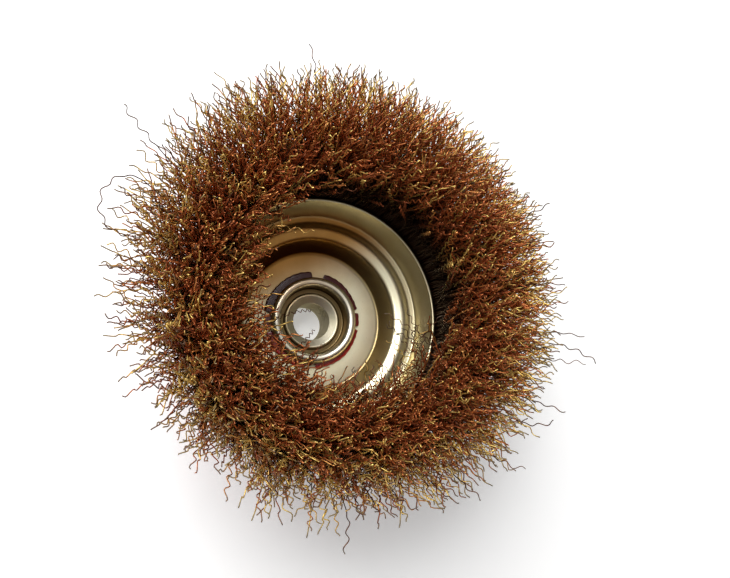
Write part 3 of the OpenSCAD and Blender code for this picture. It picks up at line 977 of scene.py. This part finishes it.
# %% [markdown]
# ## Floor, light and camera
# The brush stands on a white floor under one large softbox and a dim sky. The lamp is set so that a
# matte colour renders about as it is written. White comes from the rays instead: what the camera sees,
# and what metal mirrors, is a floor with a little light of its own before a white backdrop.


# %% Floor
FLOOR_HALF = 3
FLOOR_GLOW = (0.35, 0.35, 0.35)


def seen_directly(finish, mirrored=1.0):
    """1 for rays from the camera, and the share mirrored for rays that metal or glass sends on."""
    path = finish.node("ShaderNodeLightPath", {}, {}, "Is Camera Ray")
    others = ("Is Glossy Ray", "Is Transmission Ray")
    glossy, clear = (Value(finish, path.socket.node.outputs[key]) for key in others)
    return finish.node("ShaderNodeMath", {"operation": "MAXIMUM"}, {0: path, 1: (glossy + clear) * mirrored})


def white_floor():
    """Matte white that still takes the shadow, with a glow that only the camera and mirrors see."""
    finish = Finish("white_floor")
    glow = finish.blend(seen_directly(finish), (0.0, 0.0, 0.0), FLOOR_GLOW)
    finish.surface(base_color=(0.82, 0.82, 0.82), roughness=0.7, emission_color=glow, emission_strength=1.0)
    return finish.material


floor_mesh = bpy.data.meshes.new("floor")
floor_corners = [(x * FLOOR_HALF, y * FLOOR_HALF, 0) for x, y in ((-1, -1), (1, -1), (1, 1), (-1, 1))]
floor_mesh.from_pydata(floor_corners, [], [(0, 1, 2, 3)])
floor_mesh.materials.append(white_floor())
floor = bpy.data.objects.new("floor", floor_mesh)
bpy.context.scene.collection.objects.link(floor)
print("floor", [round(v, 2) for v in floor.dimensions], "metres")


# %% Sky and softbox
class Sky(Finish):
    """A world whose nodes are made by the same method as a finish's."""

    def __init__(self, name):
        self.world = bpy.data.worlds.new(name)
        self.world.use_nodes = True
        self.tree = self.world.node_tree
        self.shader = self.tree.nodes["Background"]


DIM_SKY = 0.15
sky = Sky("soft_sky")
sky.surface(
    color=(1.0, 0.99, 0.97),
    strength=seen_directly(sky, mirrored=0.45) * (1 - DIM_SKY) + DIM_SKY,
)
bpy.context.scene.world = sky.world


BRUSH_MIDDLE_Z = 0.03


def softbox(name, azimuth, height, distance, size, watts):
    """A square lamp that looks at the brush from an azimuth and a height, both in degrees."""
    a, h = np.radians([azimuth, height])
    towards = Vector((np.cos(a) * np.cos(h), np.sin(a) * np.cos(h), np.sin(h)))
    data = bpy.data.lights.new(name, "AREA")
    data.size, data.energy = size, watts
    lamp = bpy.data.objects.new(name, data)
    lamp.location = Vector((0, 0, BRUSH_MIDDLE_Z)) + towards * distance
    lamp.rotation_euler = towards.to_track_quat("Z", "Y").to_euler()
    bpy.context.scene.collection.objects.link(lamp)
    return lamp


key_softbox = softbox("key_softbox", azimuth=126, height=54, distance=0.8, size=0.55, watts=9.3)
print("softbox at", [round(v, 3) for v in key_softbox.location], "metres")

# %% Camera
AIM = Vector((0.0117, 0.0080, 0.0347))
camera_azimuth, camera_height, camera_roll, camera_distance = -61.5, 70.0, 63.0, 0.220
a, h = np.radians([camera_azimuth, camera_height])
back = Vector((np.sin(a) * np.cos(h), -np.cos(a) * np.cos(h), np.sin(h)))
lens = bpy.data.cameras.new("camera")
lens.sensor_width, lens.lens = 36.0, 35.5
lens.clip_start, lens.clip_end = 0.01, 20.0
camera = bpy.data.objects.new("camera", lens)
level = back.to_track_quat("Z", "Y").to_matrix().to_4x4()
rolled = Matrix.Rotation(np.radians(camera_roll), 4, "Z")
camera.matrix_world = Matrix.Translation(AIM + back * camera_distance) @ level @ rolled
bpy.context.scene.collection.objects.link(camera)
bpy.context.scene.camera = camera
bpy.context.scene.view_settings.view_transform = "Standard"
print("camera", camera_distance, "m from its aim, at a height of", camera_height, "degrees")
